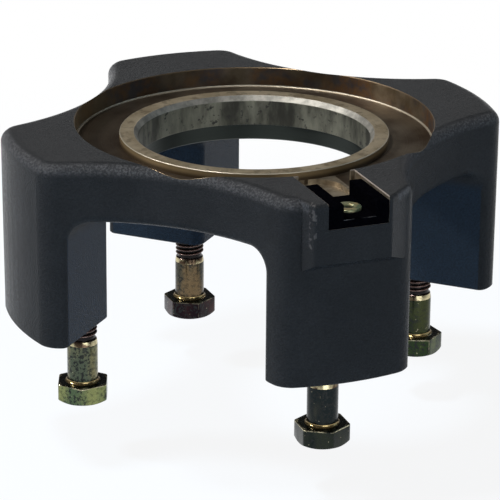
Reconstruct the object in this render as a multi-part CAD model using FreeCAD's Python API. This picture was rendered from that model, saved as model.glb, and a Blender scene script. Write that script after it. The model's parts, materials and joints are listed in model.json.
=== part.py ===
"""Tripod base adapter: a four-legged casting with a keyed round head seat on top
and a bolt in the foot of each leg.

Frame: the origin is on the axis of the seat bore, in the plane of the recess floor.
+Z points up, out of the seat. The key is at the front, on -Y. Millimetres and degrees.
"""
import FreeCAD, Part
import math
import os

V = FreeCAD.Vector
UP = V(0, 0, 1)
DOWN = V(0, 0, -1)
ORIGIN = V(0, 0, 0)

# Overrun of every cut past the face that it opens, and how near counts as touching
OVERRUN = 2.0
TOUCH = 0.002

# Seat ring, pressed into the casting
RING_BORE_RADIUS = 45.3
RING_WALL = 7.3
RING_HEIGHT = 12.2
RING_STAND = 3.5
RING_BEVEL_WIDTH = 1.7
RING_BEVEL_DEPTH = 2.2
RING_EDGE_CHAMFER = 0.35
RING_FIT_CLEARANCE = 0.03

# Head recess round the ring, the bore below it and the ledge that it is pressed down on
RECESS_FLOOR_WIDTH = 17.4
RECESS_DEPTH = 8.1
RECESS_FOOT_RADIUS = 0.6
RIM_CHAMFER = 0.3
LOWER_BORE_STEP = 1.0
LOWER_BORE_CHAMFER = 0.5
RING_LEDGE = 6.5

# Plan of the casting: waists just clear of the recess, leg ends clear of the bolts
CASTING_HEIGHT = 73.5
FRONT_NECK_WALL = 0.5
REAR_NECK_WALL = 2.6
WAIST_RADIUS = 87.0
LEG_END_WALL = 26.8
LEG_END_DRAFT = 0.4
END_CORNER_RADIUS = 9.5
TOP_EDGE_RADIUS = 5.0
FOOT_EDGE_CHAMFER = 0.5

# The casting's outline sits a little off the turned axis
OUTLINE_OFFSET = V(0, 1.7, 0)

# Channels under the plate: how far each wall stands from the bolts beside it
LEFT_REAR_COVER = 8.8
LEFT_FRONT_COVER = 12.1
RIGHT_REAR_COVER = 8.8
RIGHT_FRONT_COVER = 8.1
CHANNEL_CORNER_RADIUS = 8.0
ARCH_RIM_RADIUS = 3.5
LEG_INNER_RADIUS = 5.0

# Key block, a U channel with a thin web over the slot's floor
KEY_BLOCK_LENGTH = 25.0
KEY_BLOCK_HEIGHT = 8.9
KEY_BLOCK_ARM = 5.4
KEY_BLOCK_WEB = 3.1
KEY_BLOCK_SETBACK = 0.2
KEY_BLOCK_SIDE_CLEARANCE = 0.05
KEY_CHANNEL_WIDTH = 13.0
KEY_CHANNEL_OFFSET = 0.5
KEY_BLOCK_CHAMFER = 0.3

# Key slot, a little deeper than the block, and the pocket that runs it in to the ring
KEY_BLOCK_DROP = 1.1
KEY_SLOT_CHAMFER = 0.3
KEY_POCKET_STEP = 1.45

# Front pad that carries the key
PAD_STAND = 3.7
PAD_LEFT_CHEEK = 5.45
PAD_LEFT_FLARE = 2.0
PAD_RIGHT_CHEEK = 1.2
PAD_RIGHT_FLARE = 11.0
PAD_RIGHT_FLARE_ANGLE = 41.5
PAD_EDGE_RADIUS = 1.4
PAD_RAMP_HEIGHT = 4.0

# Key block screw, a low socket head on a thin ledge of the web
KEY_SCREW_FROM_FRONT = 11.0
KEY_SCREW_RADIUS = 3.0
KEY_SCREW_LENGTH = 10.0
KEY_SCREW_HEAD_RADIUS = 5.0
KEY_SCREW_HEAD_HEIGHT = 3.4
KEY_SCREW_HEAD_CHAMFER = 0.4
KEY_SCREW_SOCKET_FLATS = 4.0
KEY_SCREW_SOCKET_DEPTH = 2.1
KEY_SCREW_LEDGE = 0.8
KEY_SCREW_HEAD_CLEARANCE = 0.3
KEY_SCREW_SHANK_CLEARANCE = 0.3
KEY_INSERT_WALL = 0.6
KEY_INSERT_LENGTH = 7.5
KEY_INSERT_RECESS = 0.6
KEY_HOLE_SPARE_DEPTH = 2.0

# Foot bolts, hexagon head at the bottom, screwed up into the legs just outside the recess
BOLT_CIRCLE_MARGIN = 1.7
BOLT_RADIUS = 6.0
BOLT_LENGTH = 50.0
BOLT_PLAIN_LENGTH = 17.6
BOLT_NECK_LENGTH = 1.1
BOLT_CREST_RELIEF = 0.15
BOLT_THREAD_DEPTH = 1.0
BOLT_PITCH = 1.75
BOLT_CREST_SHARE = 1 / 8
BOLT_TIP_CHAMFER = 1.2
BOLT_HEAD_FLATS = 19.0
BOLT_HEAD_HEIGHT = 7.5
BOLT_HEAD_FILLET = 1.0
BOLT_DROP = 25.6
BOLT_TIP_ROOM = 11.6

# Wire thread inserts in the legs, drawn as sleeves in drilled and countersunk holes
LEG_INSERT_WALL = 1.04
LEG_INSERT_LENGTH = 24.0
LEG_INSERT_RECESS = 0.9
LEG_COUNTERSINK = 0.6
LEG_DRILL_CLEARANCE = 0.4
DRILL_POINT_SHARE = 0.6
THREAD_RUNNING_CLEARANCE = 0.06
INSERT_FIT_CLEARANCE = 0.02

# The legs, a quarter turn apart from the front one, and the turn of each head's first corner
BOLT_TURNS = {"front": 28.0, "left": 9.0, "back": 31.0, "right": 37.0}
LEG_ANGLES = {side: -90 * (step + 1) for step, side in enumerate(BOLT_TURNS)}

# Radii that follow, from the seat's axis outwards
LOWER_BORE_RADIUS = RING_BORE_RADIUS + LOWER_BORE_STEP
RING_OUTER_RADIUS = RING_BORE_RADIUS + RING_WALL
RECESS_RADIUS = RING_OUTER_RADIUS + RECESS_FLOOR_WIDTH
FRONT_WAIST_NECK = RECESS_RADIUS + FRONT_NECK_WALL
REAR_WAIST_NECK = RECESS_RADIUS + REAR_NECK_WALL
BOLT_CIRCLE_RADIUS = RECESS_RADIUS + BOLT_CIRCLE_MARGIN
LEG_END_RADIUS = BOLT_CIRCLE_RADIUS + LEG_END_WALL
PAD_REACH = LEG_END_RADIUS + PAD_STAND

# Heights that follow, from the top down
TOP_Z = RECESS_DEPTH
KEY_FLOOR_Z = TOP_Z - KEY_BLOCK_DROP - KEY_BLOCK_HEIGHT
RING_BOTTOM_Z = RING_STAND - RING_HEIGHT
PLATE_BOTTOM_Z = RING_BOTTOM_Z - RING_LEDGE
FOOT_Z = TOP_Z - CASTING_HEIGHT
HEAD_SEAT_Z = FOOT_Z - BOLT_DROP

# Widths of the key's pieces, and the key screw's place
KEY_BLOCK_WIDTH = KEY_CHANNEL_WIDTH + 2 * KEY_BLOCK_ARM
KEY_SLOT_WIDTH = KEY_BLOCK_WIDTH + 2 * KEY_BLOCK_SIDE_CLEARANCE
KEY_POCKET_WIDTH = KEY_SLOT_WIDTH - 2 * KEY_POCKET_STEP
KEY_SCREW_Y = -PAD_REACH + KEY_BLOCK_SETBACK + KEY_SCREW_FROM_FRONT
KEY_SCREW_SEAT_Z = KEY_FLOOR_Z + KEY_SCREW_LEDGE

# The bolts' threads and the holes that they run in
BOLT_THREAD_RADIUS = BOLT_RADIUS - BOLT_CREST_RELIEF
LEG_INSERT_BORE = BOLT_THREAD_RADIUS + THREAD_RUNNING_CLEARANCE
LEG_INSERT_RADIUS = LEG_INSERT_BORE + LEG_INSERT_WALL
LEG_DRILL_RADIUS = BOLT_THREAD_RADIUS + LEG_DRILL_CLEARANCE
LEG_DRILL_DEPTH = BOLT_LENGTH - BOLT_DROP + BOLT_TIP_ROOM


def save(node, shape):
    shape.exportStep(os.path.join("parts", node + ".step"))


def on_circle(radius, angle, z=0):
    turn = math.radians(angle)
    return V(radius * math.cos(turn), radius * math.sin(turn), z)


def on_key_screw(z):
    return V(KEY_CHANNEL_OFFSET, KEY_SCREW_Y, z)


def revolved(points):
    """A solid of revolution about Z from (radius, z) points."""
    corners = [V(radius, 0, z) for radius, z in points]
    return Part.Face(Part.makePolygon(corners + corners[:1])).revolve(ORIGIN, UP, 360)


def block(width, x, y0, y1, z0, z1):
    """A box of this width centred on x, from y0 to y1 and z0 to z1."""
    return Part.makeBox(width, y1 - y0, z1 - z0, V(x - width / 2, y0, z0))


def prism(points, z0, z1):
    corners = [V(x, y, z0) for x, y in points]
    face = Part.Face(Part.makePolygon(corners + corners[:1]))
    return face.extrude(V(0, 0, z1 - z0))


def side_prism(points, half_width):
    """A prism along X, this far to each side of the middle, from (y, z) points."""
    corners = [V(-half_width, y, z) for y, z in points]
    return Part.Face(Part.makePolygon(corners + corners[:1])).extrude(V(2 * half_width, 0, 0))


def hexagon(flats, turn, z0, z1):
    """A hexagonal prism about Z, its first corner turned from +X."""
    corner = flats / 2 / math.cos(math.radians(30))
    points = [on_circle(corner, turn + 60 * i) for i in range(6)]
    return prism([(p.x, p.y) for p in points], z0, z1)


def is_upright(edge):
    box = edge.BoundBox
    tall = CASTING_HEIGHT - TOUCH
    return box.ZLength > tall and box.DiagonalLength < CASTING_HEIGHT + LEG_END_DRAFT


def lies_at(edge, z):
    box = edge.BoundBox
    return abs(box.ZMin - z) < TOUCH and abs(box.ZMax - z) < TOUCH


def leg_cross():
    """The four-lobed prism: a drafted disc less four waists, its corners and top edge rounded."""
    foot = LEG_END_RADIUS - LEG_END_DRAFT
    shape = Part.makeCone(foot, LEG_END_RADIUS, CASTING_HEIGHT, V(0, 0, FOOT_Z), UP)
    shape.rotate(ORIGIN, UP, 45)
    shape.translate(OUTLINE_OFFSET)
    waists = {-135: FRONT_WAIST_NECK, -45: FRONT_WAIST_NECK, 45: REAR_WAIST_NECK, 135: REAR_WAIST_NECK}
    for angle, neck in waists.items():
        centre = on_circle(neck + WAIST_RADIUS, angle, FOOT_Z - OVERRUN)
        tall = CASTING_HEIGHT + 2 * OVERRUN
        shape = shape.cut(Part.makeCylinder(WAIST_RADIUS, tall, centre, UP))
    shape = shape.makeFillet(END_CORNER_RADIUS, [edge for edge in shape.Edges if is_upright(edge)])
    return shape.makeFillet(TOP_EDGE_RADIUS, [edge for edge in shape.Edges if lies_at(edge, TOP_Z)])


def leg_channel(angle, left_cover, right_cover):
    """The space between two pairs of legs: a straight channel with rounded upper corners."""
    reach = LEG_END_RADIUS + OUTLINE_OFFSET.Length + OVERRUN
    low = FOOT_Z - OVERRUN
    bolts = BOLT_CIRCLE_RADIUS * math.cos(math.radians(45))
    left_wall = bolts - left_cover
    right_wall = bolts - right_cover
    width = left_wall + right_wall
    shape = block(width, (right_wall - left_wall) / 2, -reach, reach, low, PLATE_BOTTOM_Z)
    ridges = [
        edge
        for edge in shape.Edges
        if lies_at(edge, PLATE_BOTTOM_Z) and edge.BoundBox.YLength > LEG_END_RADIUS
    ]
    shape = shape.makeFillet(CHANNEL_CORNER_RADIUS, ridges)
    shape.rotate(ORIGIN, UP, angle)
    return shape


def front_pad():
    """The raised pad on the end of the front leg, ramped below, its right flare the longer."""
    inner = LEG_END_RADIUS - TOP_EDGE_RADIUS - END_CORNER_RADIUS
    left = -KEY_SLOT_WIDTH / 2 - PAD_LEFT_CHEEK
    right = KEY_SLOT_WIDTH / 2 + PAD_RIGHT_CHEEK
    ankle = LEG_END_RADIUS - OUTLINE_OFFSET.y - PAD_EDGE_RADIUS
    right_ankle = PAD_REACH - PAD_RIGHT_FLARE * math.tan(math.radians(PAD_RIGHT_FLARE_ANGLE))
    low = PLATE_BOTTOM_Z - PAD_RAMP_HEIGHT
    outline = [
        (left, -PAD_REACH),
        (right, -PAD_REACH),
        (right + PAD_RIGHT_FLARE, -right_ankle),
        (right + PAD_RIGHT_FLARE - PAD_EDGE_RADIUS, -inner),
        (left - PAD_LEFT_FLARE, -inner),
        (left - PAD_LEFT_FLARE, -ankle),
    ]
    shape = prism(outline, low, TOP_Z)
    front = [
        edge
        for edge in shape.Edges
        if edge.BoundBox.YMin < -ankle - PAD_EDGE_RADIUS and not lies_at(edge, low)
    ]
    shape = shape.makeFillet(PAD_EDGE_RADIUS, front)
    ramp = [
        (-PAD_REACH - OVERRUN, PLATE_BOTTOM_Z),
        (-PAD_REACH, PLATE_BOTTOM_Z),
        (-ankle, low),
        (-ankle, low - OVERRUN),
        (-PAD_REACH - OVERRUN, low - OVERRUN),
    ]
    return shape.cut(side_prism(ramp, LEG_END_RADIUS))


def head_recess():
    """The turned cut for the head: recess, ring seat and lower bore, with broken edges."""
    top = TOP_Z + OVERRUN
    low = PLATE_BOTTOM_Z - OVERRUN
    seat = RING_OUTER_RADIUS + RING_FIT_CLEARANCE
    mouth = LOWER_BORE_CHAMFER + OVERRUN
    shape = revolved(
        [
            (0, low),
            (LOWER_BORE_RADIUS + mouth, low),
            (LOWER_BORE_RADIUS, PLATE_BOTTOM_Z + LOWER_BORE_CHAMFER),
            (LOWER_BORE_RADIUS, RING_BOTTOM_Z),
            (seat, RING_BOTTOM_Z),
            (seat, 0),
            (RECESS_RADIUS, 0),
            (RECESS_RADIUS, TOP_Z - RIM_CHAMFER),
            (RECESS_RADIUS + RIM_CHAMFER + OVERRUN, top),
            (0, top),
        ]
    )
    foot = [
        edge
        for edge in shape.Edges
        if lies_at(edge, 0) and edge.BoundBox.XMax > RECESS_RADIUS - RECESS_FOOT_RADIUS
    ]
    return shape.makeFillet(RECESS_FOOT_RADIUS, foot)


def key_slot():
    """The slot through the front land and the round-ended pocket that runs it in to the ring."""
    top = TOP_Z + OVERRUN
    front = -PAD_REACH - OVERRUN
    slot = block(KEY_SLOT_WIDTH, 0, front, -RECESS_RADIUS, KEY_FLOOR_Z, top)
    half = KEY_SLOT_WIDTH / 2
    bevel = [
        (half, TOP_Z - KEY_SLOT_CHAMFER),
        (half + KEY_SLOT_CHAMFER + OVERRUN, top),
        (-half - KEY_SLOT_CHAMFER - OVERRUN, top),
        (-half, TOP_Z - KEY_SLOT_CHAMFER),
    ]
    corners = [V(x, front, z) for x, z in bevel]
    lip = Part.Face(Part.makePolygon(corners + corners[:1])).extrude(V(0, -front - RECESS_RADIUS, 0))
    end = RING_OUTER_RADIUS + KEY_POCKET_WIDTH / 2
    pocket = block(KEY_POCKET_WIDTH, 0, -RECESS_RADIUS - OVERRUN, -end, KEY_FLOOR_Z, top)
    nose = Part.makeCylinder(KEY_POCKET_WIDTH / 2, top - KEY_FLOOR_Z, V(0, -end, KEY_FLOOR_Z), UP)
    return slot.multiFuse([lip, pocket, nose])


def leg_hole(angle):
    """The tapped hole in a foot, countersunk, for the wire insert and the bolt's tip."""
    wide = LEG_INSERT_RADIUS + INSERT_FIT_CLEARANCE
    seat_depth = LEG_INSERT_RECESS + LEG_INSERT_LENGTH
    shape = revolved(
        [
            (0, -OVERRUN),
            (wide + LEG_COUNTERSINK + OVERRUN, -OVERRUN),
            (wide, LEG_COUNTERSINK),
            (wide, seat_depth),
            (LEG_DRILL_RADIUS, seat_depth),
            (LEG_DRILL_RADIUS, LEG_DRILL_DEPTH),
            (0, LEG_DRILL_DEPTH + LEG_DRILL_RADIUS * DRILL_POINT_SHARE),
        ]
    )
    shape.translate(on_circle(BOLT_CIRCLE_RADIUS, angle, FOOT_Z))
    return shape


def key_screw_hole():
    """The tapped hole under the key block."""
    wide = KEY_SCREW_RADIUS + KEY_INSERT_WALL + INSERT_FIT_CLEARANCE
    depth = KEY_SCREW_SEAT_Z - KEY_SCREW_LENGTH - KEY_HOLE_SPARE_DEPTH
    tall = KEY_FLOOR_Z + OVERRUN - depth
    return Part.makeCylinder(wide, tall, on_key_screw(depth), UP)


def is_leg_ridge(edge):
    """Whether an edge is the ridge that rises from the foot on the inner side of a leg."""
    box = edge.BoundBox
    rises = abs(box.ZMin - FOOT_Z) < TOUCH and not lies_at(edge, FOOT_Z)
    in_line = min(abs(box.Center.x), abs(box.Center.y)) < LEG_INSERT_RADIUS
    return rises and in_line and math.hypot(box.Center.x, box.Center.y) < BOLT_CIRCLE_RADIUS


def lies_on(edge, shape):
    """Whether an edge runs in the surface of a solid."""
    skin = shape.Shells[0]
    return all(skin.distToShape(Part.Vertex(point))[0] < TOUCH for point in edge.discretize(Number=3))


def body_casting():
    """The legs and plate, then the pad, the turned seat, the key slot and the drilled holes."""
    uncut = leg_cross()
    channels = [
        leg_channel(-45, LEFT_REAR_COVER, LEFT_FRONT_COVER),
        leg_channel(45, RIGHT_FRONT_COVER, RIGHT_REAR_COVER),
    ]
    shape = uncut.cut(channels)
    outer = [edge for edge in shape.Edges if not lies_at(edge, FOOT_Z) and lies_on(edge, uncut)]
    rims = [edge for edge in outer if any(lies_on(edge, channel) for channel in channels)]
    shape = shape.makeFillet(ARCH_RIM_RADIUS, rims)
    shape = shape.makeFillet(LEG_INNER_RADIUS, [edge for edge in shape.Edges if is_leg_ridge(edge)])
    foot_rims = [edge for edge in shape.Edges if lies_at(edge, FOOT_Z)]
    shape = shape.makeChamfer(FOOT_EDGE_CHAMFER, foot_rims)
    shape = shape.fuse(front_pad())
    shape = shape.cut(head_recess())
    shape = shape.cut(key_slot())
    shape = shape.cut(key_screw_hole())
    for angle in LEG_ANGLES.values():
        shape = shape.cut(leg_hole(angle))
    return shape.removeSplitter()


def seat_ring():
    """The ring that stands proud of the recess floor, bevelled at the mouth of its bore."""
    top = RING_STAND
    return revolved(
        [
            (RING_BORE_RADIUS, RING_BOTTOM_Z),
            (RING_OUTER_RADIUS - RING_EDGE_CHAMFER, RING_BOTTOM_Z),
            (RING_OUTER_RADIUS, RING_BOTTOM_Z + RING_EDGE_CHAMFER),
            (RING_OUTER_RADIUS, top - RING_EDGE_CHAMFER),
            (RING_OUTER_RADIUS - RING_EDGE_CHAMFER, top),
            (RING_BORE_RADIUS + RING_BEVEL_WIDTH, top),
            (RING_BORE_RADIUS, top - RING_BEVEL_DEPTH),
        ]
    )


def key_block():
    """The U channel that takes the head's key, with a counterbored hole for its screw."""
    front = -PAD_REACH + KEY_BLOCK_SETBACK
    back = front + KEY_BLOCK_LENGTH
    top = KEY_FLOOR_Z + KEY_BLOCK_HEIGHT
    shape = block(KEY_BLOCK_WIDTH, 0, front, back, KEY_FLOOR_Z, top)
    shape = shape.makeChamfer(KEY_BLOCK_CHAMFER, [e for e in shape.Edges if not lies_at(e, KEY_FLOOR_Z)])
    ends = (front - OVERRUN, back + OVERRUN)
    web = KEY_FLOOR_Z + KEY_BLOCK_WEB
    shape = shape.cut(block(KEY_CHANNEL_WIDTH, KEY_CHANNEL_OFFSET, *ends, web, top + OVERRUN))
    bore = KEY_SCREW_HEAD_RADIUS + KEY_SCREW_HEAD_CLEARANCE
    tall = KEY_BLOCK_HEIGHT + OVERRUN
    shape = shape.cut(Part.makeCylinder(bore, tall, on_key_screw(KEY_SCREW_SEAT_Z), UP))
    hole = KEY_SCREW_RADIUS + KEY_SCREW_SHANK_CLEARANCE
    return shape.cut(Part.makeCylinder(hole, tall, on_key_screw(KEY_FLOOR_Z - OVERRUN), UP))


def key_block_screw():
    """A low socket head screw, its shank plain where the thread would be."""
    top = KEY_SCREW_SEAT_Z + KEY_SCREW_HEAD_HEIGHT
    shank = KEY_SCREW_RADIUS - THREAD_RUNNING_CLEARANCE
    tip = KEY_SCREW_SEAT_Z - KEY_SCREW_LENGTH
    shape = revolved(
        [
            (0, tip),
            (shank - KEY_SCREW_HEAD_CHAMFER, tip),
            (shank, tip + KEY_SCREW_HEAD_CHAMFER),
            (shank, KEY_SCREW_SEAT_Z),
            (KEY_SCREW_HEAD_RADIUS, KEY_SCREW_SEAT_Z),
            (KEY_SCREW_HEAD_RADIUS, top - KEY_SCREW_HEAD_CHAMFER),
            (KEY_SCREW_HEAD_RADIUS - KEY_SCREW_HEAD_CHAMFER, top),
            (0, top),
        ]
    )
    shape = shape.cut(hexagon(KEY_SCREW_SOCKET_FLATS, 0, top - KEY_SCREW_SOCKET_DEPTH, top + OVERRUN))
    shape.translate(on_key_screw(0))
    return shape


def key_screw_insert():
    """The wire insert that the key block screw holds in, drawn as a sleeve."""
    top = KEY_FLOOR_Z - KEY_INSERT_RECESS
    tall = KEY_INSERT_LENGTH + 2 * OVERRUN
    shape = Part.makeCylinder(KEY_SCREW_RADIUS + KEY_INSERT_WALL, KEY_INSERT_LENGTH, on_key_screw(top), DOWN)
    return shape.cut(Part.makeCylinder(KEY_SCREW_RADIUS, tall, on_key_screw(top + OVERRUN), DOWN))


def thread_profile(z0, z1):
    """(radius, z) points of thread turns from z0 up to z1, crests one pitch apart."""
    root = BOLT_THREAD_RADIUS - BOLT_THREAD_DEPTH
    flank = BOLT_PITCH * (1 - BOLT_CREST_SHARE) / 2
    count = int((z1 - z0) / BOLT_PITCH)
    points = []
    for i in range(count):
        base = z0 + i * BOLT_PITCH
        points.append((root, base))
        points.append((BOLT_THREAD_RADIUS, base + flank))
        points.append((BOLT_THREAD_RADIUS, base + BOLT_PITCH - flank))
    points.append((root, z0 + count * BOLT_PITCH))
    return points


def foot_bolt(angle, turn):
    """A hexagon bolt, head down: chamfered head, fillet, plain shank, neck and threaded end."""
    tip = HEAD_SEAT_Z + BOLT_LENGTH
    neck = HEAD_SEAT_Z + BOLT_PLAIN_LENGTH
    root = BOLT_THREAD_RADIUS - BOLT_THREAD_DEPTH
    low = HEAD_SEAT_Z - BOLT_HEAD_HEIGHT
    head = hexagon(BOLT_HEAD_FLATS, turn, low, HEAD_SEAT_Z)
    corner = BOLT_HEAD_FLATS / 2 / math.cos(math.radians(30))
    face = BOLT_HEAD_FLATS / 2
    slope = (corner - face) * math.tan(math.radians(30))
    turned = [(0, low), (face, low), (corner, low + slope), (corner, HEAD_SEAT_Z), (0, HEAD_SEAT_Z)]
    head = head.common(revolved(turned))
    flare_radius = BOLT_RADIUS + BOLT_HEAD_FILLET
    flare = Part.makeCone(flare_radius, BOLT_RADIUS, BOLT_HEAD_FILLET, V(0, 0, HEAD_SEAT_Z), UP)
    thread = thread_profile(neck + BOLT_NECK_LENGTH, tip - BOLT_TIP_CHAMFER)
    shank = revolved(
        [(0, HEAD_SEAT_Z), (BOLT_RADIUS, HEAD_SEAT_Z), (BOLT_RADIUS, neck)]
        + thread
        + [(root, tip - BOLT_TIP_CHAMFER), (root - BOLT_TIP_CHAMFER, tip), (0, tip)]
    )
    shape = head.multiFuse([flare, shank]).removeSplitter()
    shape.translate(on_circle(BOLT_CIRCLE_RADIUS, angle))
    return shape


def leg_thread_insert(angle):
    """The wire insert in a leg, drawn as a sleeve that the bolt's thread runs in."""
    base = on_circle(BOLT_CIRCLE_RADIUS, angle, FOOT_Z + LEG_INSERT_RECESS)
    low = on_circle(BOLT_CIRCLE_RADIUS, angle, FOOT_Z + LEG_INSERT_RECESS - OVERRUN)
    shape = Part.makeCylinder(LEG_INSERT_RADIUS, LEG_INSERT_LENGTH, base, UP)
    return shape.cut(Part.makeCylinder(LEG_INSERT_BORE, LEG_INSERT_LENGTH + 2 * OVERRUN, low, UP))


os.makedirs("parts", exist_ok=True)
save("body_casting", body_casting())
save("seat_ring", seat_ring())
save("key_block", key_block())
save("key_block_screw", key_block_screw())
save("key_screw_insert", key_screw_insert())
for side, leg_angle in LEG_ANGLES.items():
    save("foot_bolt_" + side, foot_bolt(leg_angle, BOLT_TURNS[side]))
    save("leg_thread_insert_" + side, leg_thread_insert(leg_angle))
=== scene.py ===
"""The looks of a tripod base adapter: a painted casting with a machined head seat,
a turned seat ring, a blackened key block and four plated foot bolts.

Metres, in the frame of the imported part: origin on the seat bore's axis in the plane of the
recess floor, +Z up, the key at the front on -Y.
"""

import json
import math
from collections import namedtuple

import bpy
import numpy as np
from mathutils import Matrix, Vector


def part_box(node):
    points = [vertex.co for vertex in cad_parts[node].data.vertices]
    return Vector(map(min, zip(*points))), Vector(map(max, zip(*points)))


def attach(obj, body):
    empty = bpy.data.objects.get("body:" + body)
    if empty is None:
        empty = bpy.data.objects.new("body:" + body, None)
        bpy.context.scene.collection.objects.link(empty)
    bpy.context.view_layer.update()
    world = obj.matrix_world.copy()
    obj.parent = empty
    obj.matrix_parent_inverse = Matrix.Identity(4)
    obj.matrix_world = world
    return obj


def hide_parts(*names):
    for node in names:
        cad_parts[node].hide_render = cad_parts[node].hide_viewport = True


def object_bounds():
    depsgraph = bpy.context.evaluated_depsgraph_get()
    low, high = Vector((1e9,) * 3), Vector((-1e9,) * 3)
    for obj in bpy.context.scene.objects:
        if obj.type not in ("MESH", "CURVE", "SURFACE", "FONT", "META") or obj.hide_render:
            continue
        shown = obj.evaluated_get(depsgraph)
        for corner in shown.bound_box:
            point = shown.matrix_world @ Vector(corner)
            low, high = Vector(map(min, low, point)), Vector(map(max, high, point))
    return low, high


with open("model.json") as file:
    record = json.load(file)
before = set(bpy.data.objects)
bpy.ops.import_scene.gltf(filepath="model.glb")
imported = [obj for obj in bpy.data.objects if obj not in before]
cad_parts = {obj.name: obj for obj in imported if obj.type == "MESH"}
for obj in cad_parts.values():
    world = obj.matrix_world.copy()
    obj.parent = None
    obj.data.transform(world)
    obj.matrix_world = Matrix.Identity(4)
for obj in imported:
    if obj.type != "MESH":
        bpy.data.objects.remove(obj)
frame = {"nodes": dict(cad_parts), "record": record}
CAD_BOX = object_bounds()

MM = 0.001
FULL_TURN = 2 * math.pi
SIDES = ("front", "left", "back", "right")

# Rounded edges: points on each, and how far the flats beside it are held flat, as a share of its radius
ROUND_STEPS = 5
ROUND_HOLD_SHARE = 1 / 4

# Viewpoint of the photograph
VIEW_AZIMUTH = math.radians(-21.828)
VIEW_ELEVATION = math.radians(20.225)
VIEW_ROLL = math.radians(0.448)
VIEW_DISTANCE = 1187.5 * MM
VIEW_TARGET_RIGHT = -1.304 * MM
VIEW_TARGET_HEIGHT = -46.2 * MM
VIEW_LENS = 216.0
VIEW_SENSOR = 36.0

# Surround, by the height of a direction: what metal and paint show of it, and the light it gives
SKY_SPAN = (-0.02, 0.26)
SKY_SHOWN = (0.55, 0.05)
AMBIENT_LIGHT = (0.66, 0.95, 1.35)
AMBIENT_STRENGTH = 0.9

# Floor, just under the lowest place of the bolts. It keeps a light shadow near the object and is
# plain white further out
FLOOR_HALF = 3.0
FLOOR_ROOM = 0.1 * MM
FLOOR_TONE = (0.56, 0.75, 0.96)
FLOOR_GLOW = (0.9, 1.0)
FLOOR_GLOW_SPAN = (0.14, 0.5)

# Lamps that stand in front and at the right are cooler than the rest
FRONT_TINT = (0.90, 0.96, 1.0)
RIGHT_TINT = (0.6, 0.82, 1.0)

# How far a zone of a finish reaches past the face that bounds it
ZONE_STEP = 0.05 * MM

# Machined zones of the casting, with a painted highlight line round the foot of the recess wall
RECESS_RADIUS = 70.0 * MM
RECESS_FOOT_HEIGHT = 0.6 * MM
RECESS_FOOT_WIDTH = 0.7 * MM
RIM_CHAMFER = 0.3 * MM
RIM_CHAMFER_LOW = 7.8 * MM
LOWER_BORE_RADIUS = 46.3 * MM
LOWER_BORE_CHAMFER = 0.5 * MM
PLATE_BOTTOM = -15.2 * MM
KEY_SLOT_HALF = 11.95 * MM
KEY_SLOT_BACK = 52.0 * MM
KEY_FLOOR = -1.9 * MM

# Walls of the channels under the plate, from the seat's axis, where a bluer painted shade is laid on the
# paint, and the heights between which that fades
CHANNEL_HALF = 41.96 * MM
CHANNEL_FRONT_LEFT = 38.7 * MM
CHANNEL_FRONT_RIGHT = 42.65 * MM
CHANNEL_CORNERS = 63.5 * MM
CHANNEL_FADE = (-24.0 * MM, -19.0 * MM)

# Rounding of the casting's top edges, where a speckled highlight is painted in light grey
HIGHLIGHT_BAND_RISE = (3.0 * MM, 5.8 * MM)
HIGHLIGHT_BAND_FALL = (7.3 * MM, 8.05 * MM)

# Chips in the paint, down the left edge of the front pad
PAD_LEFT_EDGE = 17.4 * MM
PAD_CHIP_WIDTH = 0.9 * MM
PAD_CHIPS_FRONT = 98.0 * MM
PAD_CHIPS_LOW = 9.0 * MM

# Edges of the key block that are lighter, for wear and a painted highlight
KEY_LIGHT_EDGE_WIDTH = 0.14 * MM
KEY_WEB = 3.1 * MM
KEY_CHANNEL_X = 0.5 * MM
KEY_CHANNEL_HALF = 6.5 * MM

# Seat ring
RING_WALL = 7.3 * MM
RING_EDGE = 0.35 * MM
RING_BEVEL_WIDTH = 1.7 * MM
RING_BEVEL_DEPTH = 2.2 * MM
RING_OUTSIDE = 0.2 * RING_EDGE
RING_BORE_STEP = 0.3 * RING_EDGE
RING_SIDE_SHADE_SPAN = (0.6 * MM, 2.2 * MM)
RING_COLUMNS = 320

# Foot bolts, heads down. The travel is how far below its place at rest a head can come
BOLT_RADIUS = 6.0 * MM
BOLT_PLAIN = 17.6 * MM
BOLT_NECK = 1.1 * MM
BOLT_BEVEL = 1.9 * MM
BOLT_BEVEL_STEP = 0.3 * MM
BOLT_TIP_CHAMFER = 1.2 * MM
BOLT_TRAVEL = 21.5 * MM
THREAD_RADIUS = 5.85 * MM
THREAD_DEPTH = 1.0 * MM
THREAD_PITCH = 1.75 * MM
THREAD_CREST_SHARE = 1 / 16
THREAD_ROOT_SHARE = 1 / 8
HEAD_FLATS = 19.0 * MM
HEAD_SHARPNESS = 48.0
HEAD_HEIGHT = 7.5 * MM
HEAD_FILLET = 1.1 * MM
HEAD_EDGE = 0.28 * MM
HEAD_TURNED = HEAD_FLATS / 2 * 0.965
HEAD_CHAMFER_SLOPE = math.tan(math.radians(30))
HEAD_TURNS = {"front": 28.0, "left": 9.0, "back": 31.0, "right": 37.0}
HEAD_FACE_SHARES = (0.3, 0.6, 0.9, 0.985)
HEAD_CHAMFER_SHARES = (0.0, 0.5, 0.9)
BOLT_COLUMNS = 96
ROWS_A_PITCH = 14

# Lighter edges on a bolt, for wear and a painted highlight on the brim and corners of the head and a
# painted highlight on the crests of the thread, and how much of it each head has
BRIM_DEPTH = 1.6 * HEAD_EDGE
CORNER_RADIUS = HEAD_FLATS / 2 * 1.133
CREST_DEPTH = 0.4 * THREAD_DEPTH
HEAD_WEAR_AND_HIGHLIGHT = {"front": 0.95, "left": 0.9, "back": 0.2, "right": 0.5}

# Wire thread inserts in the legs
COIL_INNER = 5.93 * MM
COIL_OUTER = 6.93 * MM
COIL_TALL = 0.46 * THREAD_PITCH
COIL_STEPS = 36
COIL_SECTION = 8
COIL_TIP_STEPS = 4
COIL_TIP_SHARE = 0.02

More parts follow.
